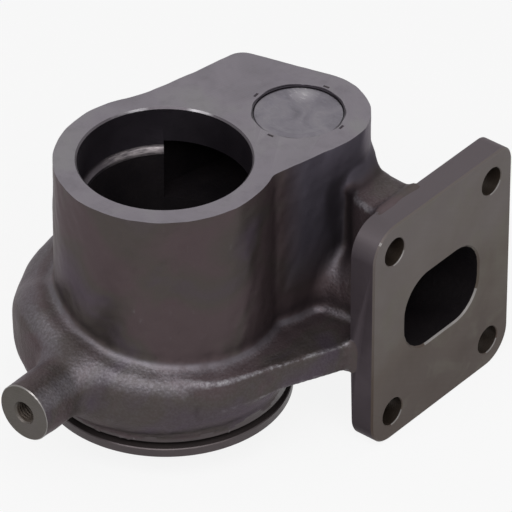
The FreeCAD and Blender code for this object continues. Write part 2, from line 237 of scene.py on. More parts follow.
def scroll_sides(theta_deg):
    """Outer radius, floor, top and corner radius of the scroll at angles in degrees, as in the CAD model."""
    share = scroll_share(theta_deg)
    radius = scroll_tail_r + (scroll_start_r - scroll_tail_r) * share ** scroll_growth
    near_start = np.maximum(0.0, (share - 0.75) / 0.25)
    floor = scroll_floor_z + (scroll_start_floor_z - scroll_floor_z) * near_start
    top = scroll_tail_top_z + (scroll_start_top_z - scroll_tail_top_z) * share ** scroll_rise
    corner = np.minimum(0.47 * (top - floor), 0.85 * (radius - scroll_hub_r))
    return radius, floor, top, corner


def scroll_field(radius, z, theta):
    """The scroll, with the flat shelf and fuller shoulder that it has round the column's foot."""
    outer, floor, top, corner = scroll_sides(theta)
    share = scroll_share(theta)
    shelf = shelf_low_z + shelf_slope * (share - shelf_low_share)
    shelf = shelf + shelf_bend * np.maximum(0.0, share - shelf_bend_share) ** 2
    weight = 1.0 - ease(share, *shelf_fade)
    top = np.maximum(top, top + (shelf - top) * weight)
    upper_corner = corner + (np.minimum(shelf_corner, corner) - corner) * weight
    middle = (floor + top) / 2.0
    return rounded_box(radius, z, -2.0 * outer, outer, floor, top, np.where(z > middle, upper_corner, corner))


def lumps(x, y, z, size, seed, waves=9):
    """A smooth random field between about -1 and 1, with lumps of about a size."""
    rng = np.random.default_rng(seed)
    total = 0.0
    for _ in range(waves):
        direction = rng.normal(size=3)
        direction *= 2.0 * math.pi / (size * rng.uniform(0.7, 1.6) * np.linalg.norm(direction))
        phase = rng.uniform(0, 2 * math.pi)
        total = total + np.sin(direction[0] * x + direction[1] * y + direction[2] * z + phase)
    return total / math.sqrt(waves)


def duct_sides(wall):
    """The inlet duct's outline from above, run on past both ends, inside its casting by a wall."""
    near, far = flange_y - port_width / 2.0 - duct_wall + wall, flange_y + port_width / 2.0 + duct_wall - wall
    near_start, far_start = scroll_hub_r - duct_wall + wall, scroll_start_r - wall
    taper_x = flange_x - duct_straight
    past = 30.0
    near_slope, far_slope = (near - near_start) / taper_x, (far - far_start) / taper_x
    return np.array([
        (-past, near_start - past * near_slope), (taper_x, near), (flange_x + past, near),
        (flange_x + past, far), (taper_x, far), (-past, far_start - past * far_slope)])


def back_of_flange(z):
    """Where the flange's back lies along X. Its lower half tapers."""
    down = np.clip((flange_z - z) / (flange_height / 2.0), 0.0, 1.0)
    return flange_x - flange_thickness + flange_back_taper * down


def column_field(x, y, z):
    """The column and the side chamber's wall, with their draft."""
    radius = np.sqrt(x * x + y * y)
    arm = polygon_distance(x, y, arm_outline()) - (column_height - z) * draft
    run, rise = arm_shoulder_r - arm_foot_r, arm_shoulder_z - foot_z
    slope = ((radius - arm_foot_r) * rise - (z - foot_z) * run) / math.hypot(run, rise)
    underside = shared(np.minimum(slope, arm_shoulder_z - z), foot_z - 4.0 - z)
    return shared(keep(arm, underside, arm_edge_r), z - column_height - 3.0)


def flange_field(x, y, z):
    """The flange's plate, a little inside its machined size."""
    corner_map = np.where(
        y < flange_y,
        np.where(z > flange_z, flange_corners[(-1, 1)], flange_corners[(-1, -1)]),
        np.where(z > flange_z, flange_corners[(1, 1)], flange_corners[(1, -1)]))
    face = rounded_box(
        y, z, flange_y - flange_width / 2.0, flange_y + flange_width / 2.0,
        flange_z - flange_height / 2.0, flange_z + flange_height / 2.0, corner_map)
    return shared(face + 0.5, x - flange_x + 0.5, back_of_flange(z) + 0.3 - x)


def web_field(x, y, z):
    """The level web between the scroll and the flange. Its outer edge curves back at its start."""
    along, out = polar(1.0, web_deg), polar(1.0, web_deg - 90.0)
    run = x * along[0] + y * along[1]
    curved_edge = np.hypot(x, y) - web_offset + web_start_bend * run * run
    outer_edge = np.where(run < 0.0, curved_edge, x * out[0] + y * out[1] - web_offset)
    inner_x = 31.0
    inner_edge = (inner_x * y - flange_y * x) / math.hypot(inner_x, flange_y)
    behind_edge = -run - web_behind
    end = x - flange_x + flange_thickness - 2.0
    side = shared(outer_edge, inner_edge, end, y - flange_y, behind_edge)
    middle = web_top_z - web_thickness / 2.0
    return keep(side, np.abs(z - middle) - web_thickness / 2.0, web_edge_r)


def riser_outline():
    """Outline of the upright wall between the arm and the flange, with its wide flare on the far side."""
    back_x = flange_x - flange_thickness
    plug = np.array((plug_x, plug_y))
    start = plug + polar(arm_r - 1.0, -4.0)
    far_y = riser_far_y + 0.7
    bulge = (back_x - 2.0, riser_near_y + riser_bulge_r)
    flare = (riser_flare_x, far_y + riser_flare_r)
    points = [start]
    points += arc_points(bulge, riser_bulge_r, 220.0, 270.0, 5.0)
    points += [np.array((back_x + 1.0, riser_near_y)), np.array((back_x + 1.0, far_y))]
    points += arc_points(flare, riser_flare_r, 270.0, 232.0, 3.0)
    points += [np.array((plug_x, points[-1][1])), np.array((plug_x, start[1]))]
    return np.array(points)


def riser_field(x, y, z):
    """The upright wall behind the flange."""
    level = np.maximum(z - riser_top_z, flange_z - z)
    return keep(polygon_distance(x, y, riser_outline()), level, riser_edge_r)


def base_field(x, y, z):
    """What the column stands on: the scroll, the duct, the clamp ring's neck and the web."""
    radius = np.sqrt(x * x + y * y)
    scroll = scroll_field(radius, z, np.degrees(np.arctan2(y, x)))
    half_height = port_height / 2.0 + duct_wall
    duct = keep(polygon_distance(x, y, duct_sides(0.0)), np.abs(z - flange_z) - half_height, duct_edge_r)
    duct = shared(duct, -x - 0.5, x - flange_x + 1.0)
    neck = shared(radius - ring_shoulder_r, ring_groove_top_z + 0.2 - z, z - foot_z)
    body = join(join(scroll, duct, duct_fillet), neck, neck_fillet)
    return join(body, web_field(x, y, z), web_fillet)


def casting_field(x, y, z):
    """Signed distance to the rough casting, with its fillets."""
    boss = np.sqrt((x - boss_x) ** 2 + (z - boss_z) ** 2) - boss_r
    boss = shared(boss, boss_end_y - 2.0 - y, y + 30.0)
    body = join(base_field(x, y, z), column_field(x, y, z), column_fillet)
    body = join(body, riser_field(x, y, z), riser_fillet)
    body = join(body, flange_field(x, y, z), flange_fillet)
    body = join(body, boss, boss_fillet)
    for height, size, seed in skin_lumps:
        body = body + height * lumps(x, y, z, size, seed)
    return shared(body, x - flange_x + 0.4)


def without_crossings(field):
    """A copy of a field where no grid square has just two opposite corners inside, for a clean surface."""
    field = field.copy()
    while True:
        inside = field < 0.0
        fill = np.zeros(field.shape, bool)
        for first, second in ((0, 1), (0, 2), (1, 2)):
            corners = {}
            for a, b in itertools.product((0, 1), repeat=2):
                part = [slice(None)] * 3
                part[first] = slice(a, field.shape[first] - 1 + a)
                part[second] = slice(b, field.shape[second] - 1 + b)
                corners[a, b] = tuple(part)
            for a in (0, 1):
                both_in = inside[corners[a, 0]] & inside[corners[1 - a, 1]]
                both_out = ~inside[corners[a, 1]] & ~inside[corners[1 - a, 0]]
                fill[corners[a, 1]] |= both_in & both_out
        if not fill.any():
            return field
        field[fill] = -0.01


def surface_net(field, low, step):
    """Quads through the zero level of a field, one vertex in each cell that the surface crosses."""
    inside = field < 0.0
    shape = np.array(field.shape) - 1
    corner_sum = np.zeros(shape, np.int32)
    for i, j, k in itertools.product((0, 1), repeat=3):
        corner_sum += inside[i:shape[0] + i, j:shape[1] + j, k:shape[2] + k]
    active = (corner_sum > 0) & (corner_sum < 8)
    index = np.full(shape, -1, np.int64)
    cells = np.argwhere(active)
    index[active] = np.arange(len(cells))
    total = np.zeros((len(cells), 3))
    crossings = np.zeros(len(cells))
    for axis in range(3):
        others = [other for other in range(3) if other != axis]
        for a, b in itertools.product((0, 1), repeat=2):
            start = cells.copy()
            start[:, others[0]] += a
            start[:, others[1]] += b
            end = start.copy()
            end[:, axis] += 1
            value_a, value_b = field[tuple(start.T)], field[tuple(end.T)]
            crossed = (value_a < 0.0) != (value_b < 0.0)
            share = np.where(crossed, value_a / np.where(crossed, value_a - value_b, 1.0), 0.0)
            point = start.astype(float)
            point[:, axis] += share
            total += point * crossed[:, None]
            crossings += crossed
    vertices = low + step * total / crossings[:, None]
    quads = []
    for axis in range(3):
        first, second = [(axis + 1) % 3, (axis + 2) % 3]
        begin = [slice(1, -1)] * 3
        begin[axis] = slice(0, -1)
        ahead = list(begin)
        ahead[axis] = slice(1, None)
        changed = inside[tuple(begin)] != inside[tuple(ahead)]
        outward = inside[tuple(begin)]
        for rising in (True, False):
            edges = np.argwhere(changed & (outward == rising))
            for other in range(3):
                if other != axis:
                    edges[:, other] += 1
            around = []
            for da, db in ((0, 0), (-1, 0), (-1, -1), (0, -1)):
                neighbour = edges.copy()
                neighbour[:, first] += da
                neighbour[:, second] += db
                around.append(index[tuple(neighbour.T)])
            around = np.stack(around, axis=1)
            quads.append(around if rising else around[:, ::-1])
    return vertices, np.concatenate(quads)


def add_object(name, data):
    """A linked object that shows some data."""
    added = bpy.data.objects.new(name, data)
    bpy.context.scene.collection.objects.link(added)
    return added


def aim(holder, place, target):
    """Puts a camera or lamp at a place and turns it to a target."""
    holder.location = place
    holder.rotation_euler = (target - holder.location).to_track_quat("-Z", "Y").to_euler()


def mesh_object(name, vertices, faces):
    """A linked mesh object from vertices in millimetres."""
    mesh = bpy.data.meshes.new(name)
    faces = faces.tolist() if isinstance(faces, np.ndarray) else faces
    mesh.from_pydata((np.asarray(vertices) * MM).tolist(), [], faces)
    mesh.update()
    return add_object(name, mesh)


def outward(piece):
    """Turns a closed mesh's faces outward."""
    work = bmesh.new()
    work.from_mesh(piece.data)
    bmesh.ops.recalc_face_normals(work, faces=work.faces)
    work.to_mesh(piece.data)
    work.free()


def ring_solid(name, rings):
    """A closed mesh through rings of equally many points, with flat ends."""
    count = len(rings[0])
    vertices = [point for ring in rings for point in ring]
    faces = [list(range(count))[::-1]]
    for layer in range(len(rings) - 1):
        base = layer * count
        for i in range(count):
            j = (i + 1) % count
            faces.append([base + i, base + j, base + count + j, base + count + i])
    last = (len(rings) - 1) * count
    faces.append([last + i for i in range(count)])
    piece = mesh_object(name, vertices, faces)
    outward(piece)
    return piece


def turned(name, profile, centre=(0.0, 0.0, 0.0), axis="Z", count=144):
    """A solid turned from (radius, distance) points that start and end on the axis."""
    rings = []
    for radius, height in profile:
        ring = []
        for i in range(count):
            angle = 2.0 * math.pi * i / count
            r = radius(angle) if callable(radius) else radius
            u, v = r * math.cos(angle), r * math.sin(angle)
            offset = {"X": (height, u, v), "Y": (u, height, v), "Z": (u, v, height)}[axis]
            ring.append([centre[k] + offset[k] for k in range(3)])
        rings.append(ring)
    return ring_solid(name, rings)


def prism(name, outline, low, high):
    """An upright solid on an outline, between two heights."""
    return ring_solid(name, [[(u, v, level) for u, v in outline] for level in (low, high)])


def combine(piece, other, operation):
    """Joins another solid to a piece or cuts it away, and removes the other."""
    step = piece.modifiers.new("machining", "BOOLEAN")
    step.operation = operation
    step.solver = "MANIFOLD"
    step.object = other
    depsgraph = bpy.context.evaluated_depsgraph_get()
    mesh = bpy.data.meshes.new_from_object(piece.evaluated_get(depsgraph))
    piece.modifiers.clear()
    old = piece.data
    piece.data = mesh
    bpy.data.meshes.remove(old)
    used = other.data
    bpy.data.objects.remove(other)
    bpy.data.meshes.remove(used)


def rounded_rectangle(centre_u, centre_v, width, height, corners, step_deg=6.0):
    """Points round a rectangle, with its own radius at each corner."""
    points = []
    for (su, sv), start in (((1, 1), 0.0), ((-1, 1), 90.0), ((-1, -1), 180.0), ((1, -1), 270.0)):
        radius = corners[(su, sv)]
        centre = (centre_u + su * (width / 2.0 - radius), centre_v + sv * (height / 2.0 - radius))
        points += arc_points(centre, radius, start, start + 90.0, step_deg)
    return points


def plate(name, width, height, corners, sections):
    """A solid on a rounded rectangle round the flange's middle, grown by an amount at each place along X."""
    rings = []
    for x, grow in sections:
        grown = {key: value + grow for key, value in corners.items()}
        outline = rounded_rectangle(flange_y, flange_z, width + 2 * grow, height + 2 * grow, grown)
        rings.append([(x, u, v) for u, v in outline])
    return ring_solid(name, rings)


def flange_solid():
    """The machined flange, with a fine chamfer at its front edge and its back's taper."""
    edge = 0.8
    back_x, low_z = flange_x - flange_thickness, flange_z - flange_height / 2.0
    flange = plate("flange", flange_width, flange_height, flange_corners, (
        (back_x, 0.0), (flange_x - edge, 0.0), (flange_x, -edge)))
    past = 2.0
    deeper = flange_back_taper * (1.0 + past / (flange_height / 2.0))
    section = ((back_x - past, flange_z), (back_x, flange_z), (back_x + deeper, low_z - past),
               (back_x - past, low_z - past))
    sides = (flange_y - flange_width / 2.0 - past, flange_y + flange_width / 2.0 + past)
    taper = ring_solid("taper", [[(x, y, z) for x, z in section] for y in sides])
    combine(flange, taper, "DIFFERENCE")
    return flange


def clamp_ring():
    """The clamp ring with its groove, below the shoulder that carries it."""
    edge = 0.4
    lip = 0.2
    top = 14.5
    return turned("clamp_ring", [
        (0.0, 0.0), (ring_r - lip, 0.0), (ring_r, lip), (ring_r, ring_rim_z - edge),
        (ring_r - edge, ring_rim_z), (ring_neck_r, ring_height), (ring_neck_r, ring_groove_top_z),
        (ring_shoulder_r - edge, ring_groove_top_z), (ring_shoulder_r, ring_groove_top_z + edge),
        (ring_shoulder_r, top), (0.0, top)], count=240)


def section_ring(low, high, bottom, top, inner_r, outer_r, place, steps=6):
    """Points round a rounded section, put in space by a function."""
    points = []
    corners = (
        ((high - outer_r, top - outer_r), outer_r, 0.0),
        ((low + inner_r, top - inner_r), inner_r, 90.0),
        ((low + inner_r, bottom + inner_r), inner_r, 180.0),
        ((high - outer_r, bottom + outer_r), outer_r, 270.0))
    for centre, radius, start in corners:
        for u, v in arc_points(centre, radius, start, start + 90.0, 90.0 / steps):
            points.append(place(u, v))
    return points


def scroll_passage():
    """The gas passage of the scroll."""
    rings = []
    for theta in np.linspace(90.0, 90.0 + scroll_sweep_deg, 60):
        radius, floor, top, _ = [float(value) for value in scroll_sides(np.array(theta))]
        high, bottom, ceiling = radius - scroll_wall, floor + scroll_wall, top - scroll_wall
        corner = min(0.47 * (ceiling - bottom), 0.85 * (high - scroll_hub_r))
        direction = polar(1.0, theta)
        rings.append(section_ring(
            scroll_hub_r, high, bottom, ceiling, 2.0, corner,
            lambda u, v, d=direction: (u * d[0], u * d[1], v)))
    return ring_solid("passage", rings)


def duct_passage():
    """The gas passage from the flange's port to the scroll's start."""
    near_back, near_port, _, _, far_port, far_back = duct_sides(duct_wall)
    half_height = port_height / 2.0
    rings = []
    for x in [flange_x + 1.0] + list(np.linspace(near_port[0], 0.0, 12)):
        share = min(1.0, (x - near_back[0]) / (near_port[0] - near_back[0]))
        near = near_back[1] + (near_port[1] - near_back[1]) * share
        far = far_back[1] + (far_port[1] - far_back[1]) * share
        rings.append(section_ring(
            near, far, flange_z - half_height, flange_z + half_height, port_corner, port_corner,
            lambda u, v, x=x: (x, u, v)))
    return ring_solid("duct_passage", rings)


def port_chamfer():
    """The cutter for the fine chamfer round the port."""
    corners = {key: port_corner for key in flange_corners}
    sections = ((flange_x - 0.8, 0.0), (flange_x + 0.2, 1.0))
    return plate("port_chamfer", port_width, port_height, corners, sections)


def turned_bore():
    """The cutter for what is turned on the axis: seat, wheel's room, exducer, diffuser, ledge and outlet."""
    past = 1.0
    return turned("turned_bore", [
        (0.0, -past), (seat_r + 0.6, -past), (seat_r, 0.4), (seat_r, seat_depth), (wheel_bore_r, seat_depth),
        (wheel_bore_r, wheel_room_low_z), (wheel_room_r, wheel_room_low_z), (wheel_room_r, foot_z),
        (diffuser_r + 0.5, foot_z), (exducer_r, exducer_low_z), (exducer_r, exducer_high_z),
        (diffuser_r, diffuser_low_z), (diffuser_r, ledge_low_z), (diffuser_r + 0.5, ledge_low_z + 1.0),
        (outlet_r - 0.8, ledge_low_z + 2.0), (outlet_r, outlet_low_z),
        (outlet_r, column_height - outlet_chamfer),
        (outlet_r + outlet_chamfer + past, column_height + past), (0.0, column_height + past)], count=240)


def side_chamber():
    """The hollow under the deck, open to the outlet through a window."""
    chamber = prism("chamber", arm_outline(-chamber_wall), chamber_floor_z, deck_low_z)
    keep_r = column_r + window_reach
    start, end = window_deg
    points = arc_points((0, 0), keep_r, end, start + 360.0, 3.0)
    points.append(np.array((0.0, 0.0)))
    column = prism("column_core", points, chamber_floor_z - 1.0, deck_low_z + 1.0)
    combine(chamber, column, "DIFFERENCE")
    return chamber


def plug_hole():
    """The plug's stepped hole, with the ragged lip that the staking left round it."""
    def ragged(angle):
        waves = math.sin(3.0 * angle + 0.7) + 0.8 * math.sin(7.0 * angle + 2.1) + 0.6 * math.sin(13.0 * angle)
        return plug_hole_r + 0.34 + 0.13 * waves

    def dragged(angle):
        return ragged(angle) + 0.4 + 0.17 * math.sin(5.0 * angle + 0.4) + 0.14 * math.sin(11.0 * angle + 1.0)

    return turned("plug_hole", [
        (0.0, deck_low_z - 1.0), (plug_shelf_r, deck_low_z - 1.0), (plug_shelf_r, plug_seat_z),
        (plug_hole_r, plug_seat_z), (plug_hole_r, column_height - 0.7), (ragged, column_height - 0.5),
        (ragged, column_height - 0.17), (dragged, column_height + 0.02), (0.0, column_height + 0.02)],
        centre=(plug_x, plug_y, 0.0), count=120)


def stake_marks():
    """Four short punch marks that close the hole's rim over the plug."""
    marks = []
    for angle in stake_angles_deg:
        out = polar(1.0, angle)
        side = polar(1.0, angle + 90.0)
        centre = np.array((plug_x, plug_y)) + out * stake_r
        rings = []
        for grow, z in ((-0.35, column_height - 0.35), (0.2, column_height + 0.1)):
            ring = []
            for a, b in ((-1, -1), (1, -1), (1, 1), (-1, 1)):
                point = centre + out * a * (0.55 + grow) + side * b * (1.5 + grow)
                ring.append((point[0], point[1], z))
            rings.append(ring)
        marks.append(ring_solid("stake_mark", rings))
    return marks


def bolt_holes():
    """The cutters for the flange's four holes, with their fine chamfers."""
    holes = []
    low = -flange_thickness - 2.0
    for side, level in itertools.product((-0.5, 0.5), repeat=2):
        centre = (flange_x, flange_y + side * bolt_y, flange_z + level * bolt_z)
        holes.append(turned("bolt_hole", [
            (0.0, low), (bolt_r, low), (bolt_r, -0.4), (bolt_r + 0.6, 0.2), (0.0, 0.2)],
            centre=centre, axis="X", count=64))
    return holes


def boss_hole():
    """The boss's tapped hole: a coarse thread that winds round the hole, and a drilled end."""
    pitch, depth = 1.5, 0.75
    start, steps_a_turn = 0.9, 6

    def thread(height):
        def radius(angle):
            phase = (height / pitch - angle / (2.0 * math.pi)) % 1.0
            return boss_hole_r + depth * max(0.0, 1.0 - 2.2 * abs(phase - 0.5))
        return radius

    profile = [(0.0, -0.2), (boss_hole_r + 1.6, -0.2), (boss_hole_r + depth, start)]
    turns = int((boss_hole_depth - 3.0 - start) / pitch)
    for step in range(1, turns * steps_a_turn + 1):
        height = start + step * pitch / steps_a_turn
        profile.append((thread(height), height))
    profile += [(boss_hole_r, profile[-1][1] + 0.3), (boss_hole_r, boss_hole_depth)]
    profile.append((0.0, boss_hole_depth + 2.5))
    return turned("boss_hole", profile, centre=(boss_x, boss_end_y, boss_z), axis="Y", count=40)


def boss_facing():
    """The cutter that faces the boss and chamfers its end."""
    return turned("boss_facing", [
        (0.0, -6.0), (boss_r + 4.0, -6.0), (boss_r + 4.0, 1.0), (boss_r + 0.5, 1.0), (boss_r - 0.45, 0.0),
        (0.0, 0.0)], centre=(boss_x, boss_end_y, boss_z), axis="Y", count=96)


def housing():
    """The casting with its machined faces, bores, passages and holes."""
    counts = np.ceil((field_high - field_low) / cell).astype(int)
    x = (field_low[0] + cell * np.arange(counts[0]))[:, None, None]
    y = (field_low[1] + cell * np.arange(counts[1]))[None, :, None]
    z = (field_low[2] + cell * np.arange(counts[2]))[None, None, :]
    vertices, quads = surface_net(without_crossings(casting_field(x, y, z)), field_low, cell)
    piece = mesh_object("housing_casting", vertices, quads)
    outward(piece)
    combine(piece, flange_solid(), "UNION")
    combine(piece, clamp_ring(), "UNION")
    past_part = [(-90, -100), (110, -100), (110, 140), (-90, 140)]
    cutters = [prism("top_cut", past_part, column_height, column_height + 20.0)]
    cutters += [turned_bore(), scroll_passage(), duct_passage(), port_chamfer(), side_chamber(), plug_hole()]
    cutters += [boss_facing(), boss_hole()] + bolt_holes() + stake_marks()
    for cutter in cutters:
        combine(piece, cutter, "DIFFERENCE")
    return piece


def vectors_of(items, name):
    """A vector of each of a mesh's items, with one row for each axis."""
    found = np.empty(len(items) * 3)
    items.foreach_get(name, found)
    return found.reshape(-1, 3).T


def between(value, low, high):
    return (value > low) & (value < high)


def surface_kinds(piece):
    """Gives each face the finish that its place calls for. Where two places overlap, the later one holds."""
    mesh = piece.data
    x, y, z = vectors_of(mesh.polygons, "center") / MM
    nx, ny, nz = vectors_of(mesh.polygons, "normal")
    radius = np.hypot(x, y)
    plug_distance = np.hypot(x - plug_x, y - plug_y)
    boss_distance = np.hypot(x - boss_x, z - boss_z)
    bolt_distance = np.hypot(np.abs(y - flange_y) - bolt_y / 2.0, np.abs(z - flange_z) - bolt_z / 2.0)
    beyond = np.maximum(np.abs(y - flange_y) - flange_width / 2.0, np.abs(z - flange_z) - flange_height / 2.0)
    within = casting_field(x, y, z) < -3.0
    inward = (x * nx + y * ny) < 0.0
    in_passage = (radius < scroll_start_r) & between(z, foot_z - 12.0, scroll_start_top_z) & inward
    in_chamber = between(z, chamber_floor_z - 0.1, deck_low_z + 0.1)
    in_duct = (x < flange_x - 0.9) & (y > scroll_hub_r) & (z < 70.0)
    in_bore = (radius < outlet_r + 2.3) & (z > 0.5) & (np.abs(z - column_height) > 0.02)
    in_seat = (radius < seat_r + 0.7) & between(z, -0.5, wheel_room_low_z + 0.1)
    on_shoulder = (np.abs(radius - ring_shoulder_r) < 0.08) & (z < ring_groove_top_z + 5.0)
    on_ring = between(radius, seat_r - 0.1, ring_r + 0.1) & (z < ring_groove_top_z + 0.41)
    in_groove = between(radius, ring_neck_r - 0.1, ring_r - 0.45) & between(z, ring_rim_z - 0.1, 7.3)
    round_plug = (plug_distance < plug_hole_r + 1.7) & between(z, deck_low_z, column_height - 0.02)
    on_side = (x > flange_x - flange_thickness - 0.1) & (np.abs(flange_field(x, y, z) - 0.5) < 0.12)
    on_face = x > flange_x - 0.85
    # The face's chamfers that face up: their bright tone is a painted highlight
    face_chamfer = on_face & between(nx, 0.2, 0.95) & (nz > 0.3) & (ny < 0.1) & (beyond < -4.0)
    in_bolt = (bolt_distance < bolt_r + 0.05) & between(x, flange_x - flange_thickness - 3.0, flange_x - 0.4)
    on_boss = (y < boss_end_y + 0.95) & (boss_distance < boss_r + 0.5) & (ny < -0.3)
    in_boss = between(y, boss_end_y + 0.3, boss_end_y + 24.0) & (boss_distance < boss_hole_r + 1.2)
    boss_chamfer = on_boss & (y > boss_end_y + 0.05) & (boss_distance > boss_r - 0.6) & (ny > -0.95)
    names = list(finishes)
    kind = np.full(x.shape, names.index("cast_skin"))
    for where, name in (
            (within & (in_passage | in_chamber | in_duct), "inner_cast"),
            (in_bore, "turned_bore"),
            # The turned bore below the ledge takes the passages' near-black finish: painted shade deep in the
            # bore
            (in_bore & between(z, foot_z - 0.3, ledge_low_z + 0.1), "inner_cast"),
            # The ledge and the mouth's chamfer: their bright streaks are a painted highlight
            (in_bore & between(z, ledge_low_z - 0.1, outlet_low_z + 0.1), "worn_ledge"),
            (in_bore & (z > column_height - outlet_chamfer - 0.05), "worn_mouth"),
            (in_seat, "turned_bore"),
            (on_shoulder | on_ring, "turned_ring"),
            # The groove and the rim's top under the shoulder: near black, painted shade
            (in_groove, "ring_groove"),
            ((np.abs(z - column_height) < 0.02) & (nz > 0.9), "ground_face"),
            # The plug's hole and the ragged lip round the plug take the dark turned finish: painted shade
            # round the plug
            (round_plug, "turned_bore"),
            (on_side & (beyond > -18.0) & (np.abs(nx) < 0.2), "flange_side"),
            (on_face, "milled_face"),
            (face_chamfer, "rubbed_edge"),
            (in_bolt, "drilled_hole"),
            (on_boss, "faced_boss"),
            (in_boss, "drilled_hole"),
            (boss_chamfer, "rubbed_edge")):
        kind[where] = names.index(name)
    mesh.polygons.foreach_set("material_index", kind.astype(np.int32))


def skin_values(piece):
    """Stores at each vertex how coarse the skin is, and how much of an edge, crease, hollow or bead it is.

    The bead is the scroll's raised shoulder where it meets the column.
    """
    mesh = piece.data
    x, y, z = vectors_of(mesh.vertices, "co") / MM
    nx, ny, nz = vectors_of(mesh.vertex_normals, "vector")
    column, flange = np.abs(column_field(x, y, z)), np.abs(flange_field(x, y, z))
    coarse = 0.12 + 0.88 * ease(np.minimum(column, flange + 0.5), 0.6, 4.0)
    riser_root = (1.0 - ease(np.abs(riser_field(x, y, z)), 1.0, 9.0)) * (1.0 - ease(column, 6.0, 11.0))
    coarse *= 1.0 - 0.85 * riser_root
    bead = (1.0 - ease(column, 2.0, 4.5)) * (1.0 - ease(np.abs(base_field(x, y, z)), 2.0, 4.5))
    reach = 1.0
    field = casting_field(x, y, z)
    on_skin = np.abs(field) < 0.3
    total = -6.0 * field
    for dx, dy, dz in ((1, 0, 0), (-1, 0, 0), (0, 1, 0), (0, -1, 0), (0, 0, 1), (0, 0, -1)):
        total = total + casting_field(x + dx * reach, y + dy * reach, z + dz * reach)
    bend = total / reach ** 2
    on_skin = on_skin & (flange > 1.5)
    edge, crease = ease(bend, 0.12, 0.5) * on_skin, ease(-bend, 0.05, 0.35) * on_skin
    # How closed in each vertex is along its normal, and the riser's root: the cast skin darkens these as
    # painted shade
    hollow = np.zeros(x.shape)
    for out in (5.0, 10.0, 20.0):
        free = casting_field(x + nx * out, y + ny * out, z + nz * out) / out
        hollow += (1.0 - np.clip(free, 0.0, 1.0)) / 3.0
    hollow = np.maximum(ease(hollow, 0.04, 0.5), 0.85 * riser_root)
    for name, value in zip(skin_names, (coarse, edge, crease, hollow, bead)):
        attribute = mesh.attributes.new(name, "FLOAT", "POINT")
        attribute.data.foreach_set("value", value.astype(np.float32))


def smooth(piece, angle_deg=32.0):
    piece.data.shade_smooth()
    piece.data.set_sharp_from_angle(angle=math.radians(angle_deg))


class Value:
    """A node's output that can be reckoned with like a number."""

    def __init__(self, socket):
        self.socket = socket
        self.tree = socket.id_data

    def __add__(self, other):
        return maths("ADD", self, other)

    def __sub__(self, other):
        return maths("SUBTRACT", self, other)

    def __rsub__(self, other):
        return maths("SUBTRACT", other, self)

    def __mul__(self, other):
        return maths("MULTIPLY", self, other)


def put(value, socket):
    """Links a value to an input, or sets the input to a number or colour."""
    if isinstance(value, Value):
        value.tree.links.new(value.socket, socket)
    else:
        socket.default_value = value


def node(tree, kind, inputs=None, output=0, **settings):
    """Adds a node with its settings and inputs, and gives one of its outputs."""
    added = tree.nodes.new(kind)
    for name, value in settings.items():
        setattr(added, name, value)
    for name, value in (inputs or {}).items():
        put(value, added.inputs[name])
    return Value(added.outputs[output])


def maths(operation, a, b=0.0):
    tree = (a if isinstance(a, Value) else b).tree
    return node(tree, "ShaderNodeMath", {0: a, 1: b}, operation=operation)


def axis_of(vector, axis):
    """The part of a vector along X, Y or Z."""
    return node(vector.tree, "ShaderNodeSeparateXYZ", {"Vector": vector}, output=axis)


def limited(value, low, high):
    return node(value.tree, "ShaderNodeClamp", {"Value": value, "Min": low, "Max": high})


def place_of(tree, scale=(1.0, 1.0, 1.0)):
    """Object coordinates, stretched by a scale."""
    coordinates = node(tree, "ShaderNodeTexCoord", output="Object")
    return node(tree, "ShaderNodeMapping", {"Vector": coordinates, "Scale": scale})


def noise(place, scale, detail=3.0, roughness=0.55, distortion=0.0):
    return node(place.tree, "ShaderNodeTexNoise", {
        "Vector": place, "Scale": scale, "Detail": detail, "Roughness": roughness, "Distortion": distortion})


def ramp(value, stops):
    """Colours or greys at places along a value."""
    added = value.tree.nodes.new("ShaderNodeValToRGB")
    put(value, added.inputs["Fac"])
    elements = added.color_ramp.elements
    while len(elements) < len(stops):
        elements.new(0.5)
    for element, (position, colour) in zip(elements, stops):
        element.position = position
        element.color = (*colour, 1.0) if isinstance(colour, tuple) else (colour, colour, colour, 1.0)
    return Value(added.outputs["Color"])


def blend(factor, a, b):
    """Mixes two colours, each a node's output or three numbers."""
    a, b = [(*colour, 1.0) if isinstance(colour, tuple) else colour for colour in (a, b)]
    return node(factor.tree, "ShaderNodeMix", {0: factor, 6: a, 7: b}, output=2, data_type="RGBA")


def bump(height, distance_mm, strength=1.0):
    return node(height.tree, "ShaderNodeBump", {
        "Height": height, "Distance": distance_mm * MM, "Strength": strength})


def shader_of(material):
    return material.node_tree.nodes["Principled BSDF"]


def new_material(name, metallic, specular=0.5, tint=None):
    """A material with its shader's constant values set on their own sockets."""
    material = bpy.data.materials.new(name)
    material.use_nodes = True
    sockets = shader_of(material).inputs
    sockets["Metallic"].default_value = metallic
    sockets["Specular IOR Level"].default_value = specular
    if tint:
        sockets["Specular Tint"].default_value = tint
    return material, material.node_tree


def surfaced(material, colour, roughness, normal):
    """A material with its shader's colour, roughness and normal linked."""
    for name, value in (("Base Color", colour), ("Roughness", roughness), ("Normal", normal)):
        put(value, shader_of(material).inputs[name])
    return material


# The dark oxide skin's mirror reflection
skin_specular, skin_tint = 0.35, (0.55, 0.5, 0.52, 1.0)


